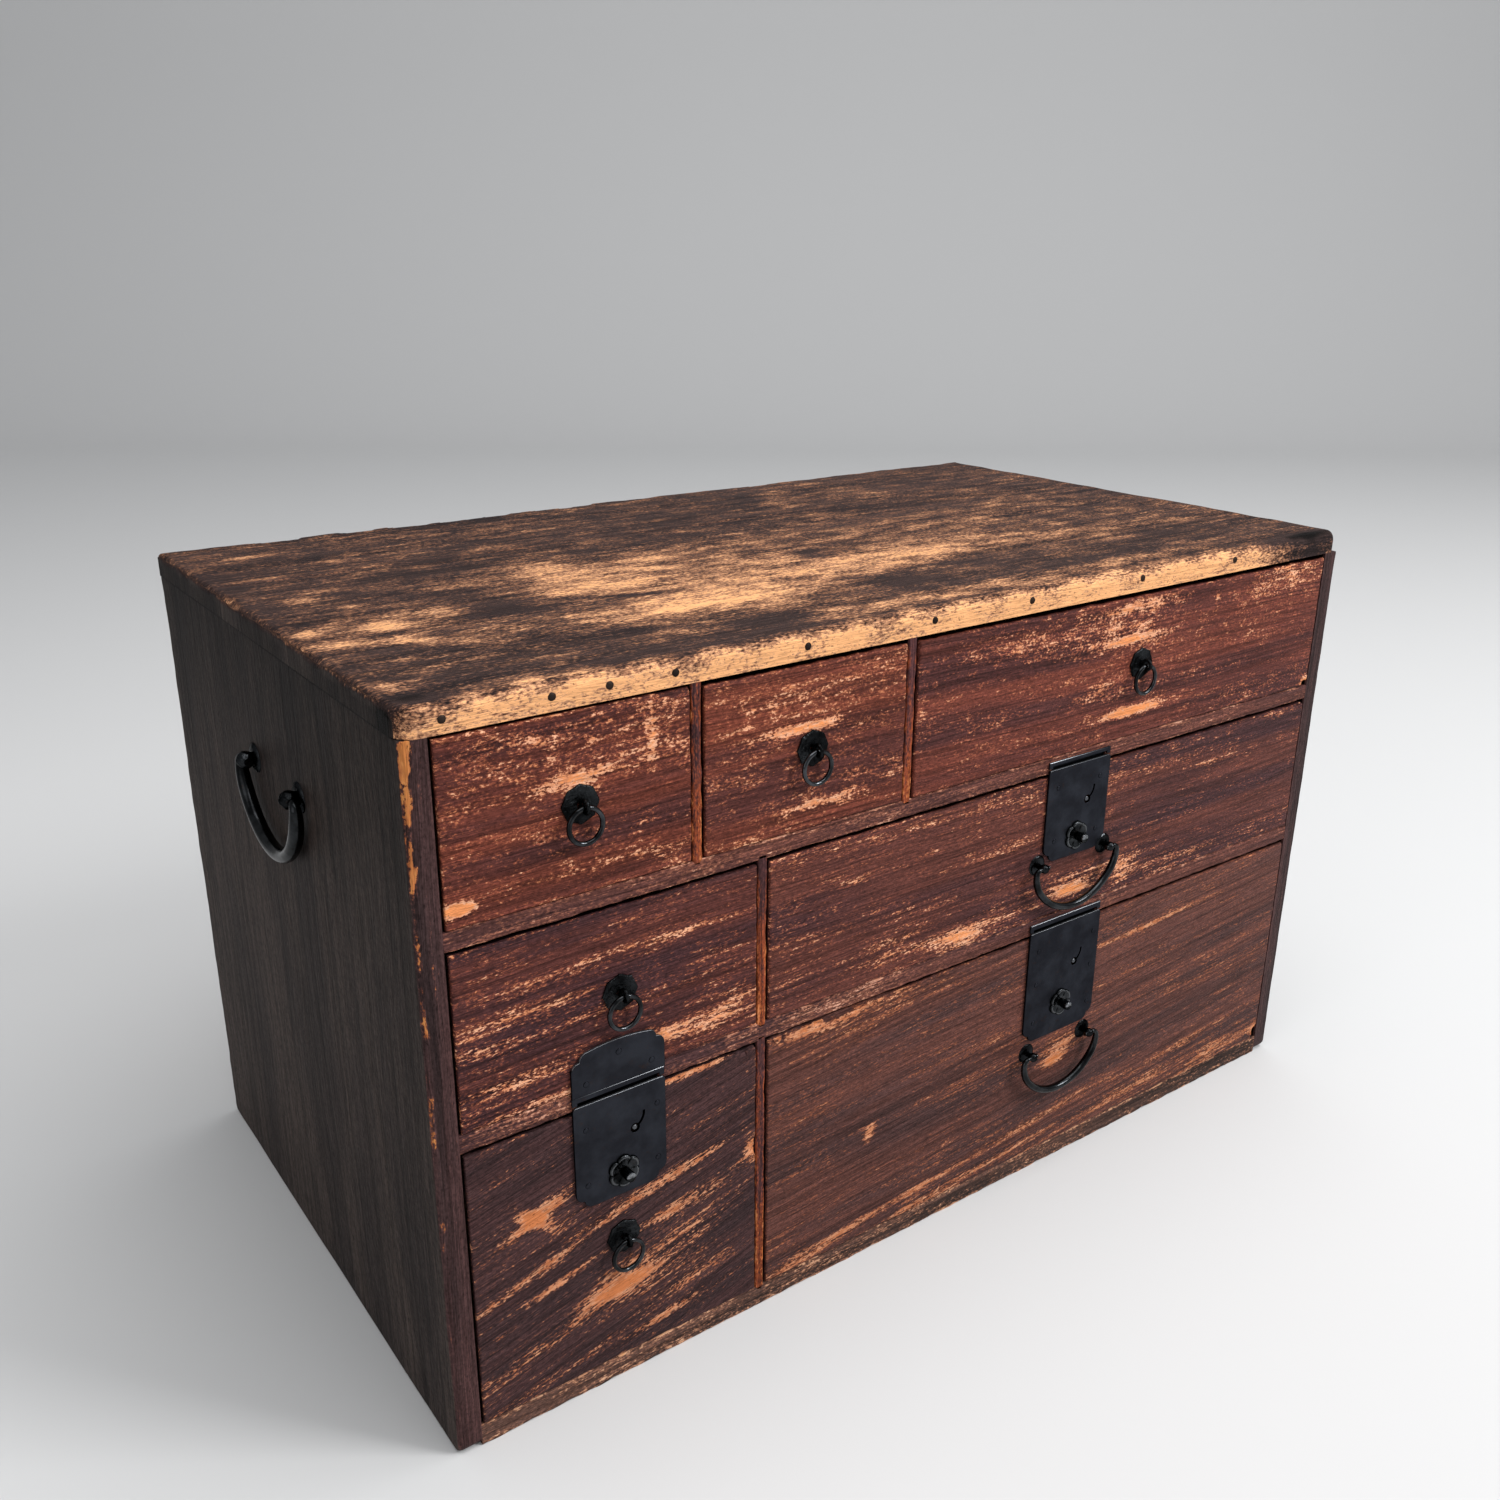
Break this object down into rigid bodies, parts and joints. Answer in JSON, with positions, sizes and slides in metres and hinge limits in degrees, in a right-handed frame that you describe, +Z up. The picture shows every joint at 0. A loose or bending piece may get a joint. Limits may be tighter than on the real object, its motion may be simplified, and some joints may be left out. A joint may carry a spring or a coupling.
{
  "type": "small tansu chest",
  "caption": "Low lacquered wooden table chest with rows of sliding drawers, iron locks with sliding bolts, ring pulls and swinging bail handles.",
  "frame": {"origin": "on the ground, at the centre of the case's rectangular footprint", "axes": "+X to the chest's right seen from the front, +Y to its back, +Z up"},
  "size_m": [0.6812, 0.378, 0.395],
  "materials": {
    "case_lacquer": "worn lacquer",
    "drawer_lacquer": "worn red-brown lacquer over open grain",
    "bare_cedar": "planed, bare",
    "forged_iron": "blackened, satin",
    "polished_iron": "blackened, worn bright by hands"
  },
  "bodies": {
    "case": {"top_board": "case_lacquer", "left_side": "case_lacquer", "right_side": "case_lacquer", "bottom_board": "case_lacquer", "back_board": "bare_cedar", "upper_shelf": "case_lacquer", "lower_shelf": "case_lacquer", "top_divider_left": "case_lacquer", "top_divider_right": "case_lacquer", "middle_divider": "case_lacquer", "bottom_divider": "case_lacquer", "case_nails": "forged_iron", "side_handle_posts": "forged_iron", "middle_right_strike_plate": "forged_iron", "bottom_right_strike_plate": "forged_iron", "bottom_left_strike_plate": "forged_iron"},
    "top_left_drawer": {"top_left_drawer_front": "drawer_lacquer", "top_left_drawer_box": "bare_cedar", "top_left_drawer_bottom": "bare_cedar", "top_left_ring_mount": "forged_iron"},
    "top_middle_drawer": {"top_middle_drawer_front": "drawer_lacquer", "top_middle_drawer_box": "bare_cedar", "top_middle_drawer_bottom": "bare_cedar", "top_middle_ring_mount": "forged_iron"},
    "top_right_drawer": {"top_right_drawer_front": "drawer_lacquer", "top_right_drawer_box": "bare_cedar", "top_right_drawer_bottom": "bare_cedar", "top_right_ring_mount": "forged_iron"},
    "middle_left_drawer": {"middle_left_drawer_front": "drawer_lacquer", "middle_left_drawer_box": "bare_cedar", "middle_left_drawer_bottom": "bare_cedar", "middle_left_ring_mount": "forged_iron", "middle_left_plaque": "forged_iron"},
    "middle_right_drawer": {"middle_right_drawer_front": "drawer_lacquer", "middle_right_drawer_box": "bare_cedar", "middle_right_drawer_bottom": "bare_cedar", "middle_right_lock_plate": "forged_iron", "middle_right_handle_posts": "forged_iron"},
    "bottom_left_drawer": {"bottom_left_drawer_front": "drawer_lacquer", "bottom_left_drawer_box": "bare_cedar", "bottom_left_drawer_bottom": "bare_cedar", "bottom_left_ring_mount": "forged_iron", "bottom_left_lock_plate": "forged_iron"},
    "bottom_right_drawer": {"bottom_right_drawer_front": "drawer_lacquer", "bottom_right_drawer_box": "bare_cedar", "bottom_right_drawer_bottom": "bare_cedar", "bottom_right_lock_plate": "forged_iron", "bottom_right_handle_posts": "forged_iron"},
    "top_left_ring": {"top_left_ring": "polished_iron"},
    "top_middle_ring": {"top_middle_ring": "polished_iron"},
    "top_right_ring": {"top_right_ring": "polished_iron"},
    "middle_left_ring": {"middle_left_ring": "polished_iron"},
    "bottom_left_ring": {"bottom_left_ring": "polished_iron"},
    "middle_right_handle": {"middle_right_handle": "polished_iron"},
    "bottom_right_handle": {"bottom_right_handle": "polished_iron"},
    "middle_right_lock_bolt": {"middle_right_lock_bolt": "forged_iron"},
    "bottom_right_lock_bolt": {"bottom_right_lock_bolt": "forged_iron"},
    "bottom_left_lock_bolt": {"bottom_left_lock_bolt": "forged_iron"},
    "left_handle": {"left_handle": "polished_iron"},
    "right_handle": {"right_handle": "polished_iron"}
  },
  "joints": [
    {"name": "top_left_drawer_slide", "type": "slide", "parent": "case", "child": "top_left_drawer", "axis": [0, -1, 0], "range_m": [0, 0.28]},
    {"name": "top_middle_drawer_slide", "type": "slide", "parent": "case", "child": "top_middle_drawer", "axis": [0, -1, 0], "range_m": [0, 0.28]},
    {"name": "top_right_drawer_slide", "type": "slide", "parent": "case", "child": "top_right_drawer", "axis": [0, -1, 0], "range_m": [0, 0.28]},
    {"name": "middle_left_drawer_slide", "type": "slide", "parent": "case", "child": "middle_left_drawer", "axis": [0, -1, 0], "range_m": [0, 0.28]},
    {"name": "middle_right_drawer_slide", "type": "slide", "parent": "case", "child": "middle_right_drawer", "axis": [0, -1, 0], "range_m": [0, 0.28]},
    {"name": "bottom_left_drawer_slide", "type": "slide", "parent": "case", "child": "bottom_left_drawer", "axis": [0, -1, 0], "range_m": [0, 0.28]},
    {"name": "bottom_right_drawer_slide", "type": "slide", "parent": "case", "child": "bottom_right_drawer", "axis": [0, -1, 0], "range_m": [0, 0.28]},
    {"name": "top_left_ring_swing", "type": "hinge", "parent": "top_left_drawer", "child": "top_left_ring", "pos_m": [-0.247, -0.18912, 0.3345], "axis": [-1, 0, 0], "range_deg": [-10, 190]},
    {"name": "top_middle_ring_swing", "type": "hinge", "parent": "top_middle_drawer", "child": "top_middle_ring", "pos_m": [-0.1135, -0.18912, 0.3335], "axis": [-1, 0, 0], "range_deg": [-10, 190]},
    {"name": "top_right_ring_swing", "type": "hinge", "parent": "top_right_drawer", "child": "top_right_ring", "pos_m": [0.1375, -0.18912, 0.3355], "axis": [-1, 0, 0], "range_deg": [-10, 190]},
    {"name": "middle_left_ring_swing", "type": "hinge", "parent": "middle_left_drawer", "child": "middle_left_ring", "pos_m": [-0.2295, -0.18912, 0.2321], "axis": [-1, 0, 0], "range_deg": [-10, 190]},
    {"name": "bottom_left_ring_swing", "type": "hinge", "parent": "bottom_left_drawer", "child": "bottom_left_ring", "pos_m": [-0.2317, -0.18912, 0.0895], "axis": [-1, 0, 0], "range_deg": [-10, 190]},
    {"name": "middle_right_handle_swing", "type": "hinge", "parent": "middle_right_drawer", "child": "middle_right_handle", "pos_m": [0.0893, -0.1905, 0.2226], "axis": [-1, 0, 0], "range_deg": [-5, 175]},
    {"name": "bottom_right_handle_swing", "type": "hinge", "parent": "bottom_right_drawer", "child": "bottom_right_handle", "pos_m": [0.09, -0.1905, 0.091], "axis": [-1, 0, 0], "range_deg": [-5, 155]},
    {"name": "middle_right_lock_slide", "type": "slide", "parent": "middle_right_drawer", "child": "middle_right_lock_bolt", "axis": [0, 0, 1], "range_m": [0, 0.006]},
    {"name": "bottom_right_lock_slide", "type": "slide", "parent": "bottom_right_drawer", "child": "bottom_right_lock_bolt", "axis": [0, 0, 1], "range_m": [0, 0.006]},
    {"name": "bottom_left_lock_slide", "type": "slide", "parent": "bottom_left_drawer", "child": "bottom_left_lock_bolt", "axis": [0, 0, 1], "range_m": [0, 0.006]},
    {"name": "left_handle_swing", "type": "hinge", "parent": "case", "child": "left_handle", "pos_m": [-0.3354, -0.0092, 0.311], "axis": [0, 1, 0], "range_deg": [-1, 175]},
    {"name": "right_handle_swing", "type": "hinge", "parent": "case", "child": "right_handle", "pos_m": [0.3354, -0.0092, 0.311], "axis": [0, -1, 0], "range_deg": [-1, 175]}
  ]
}
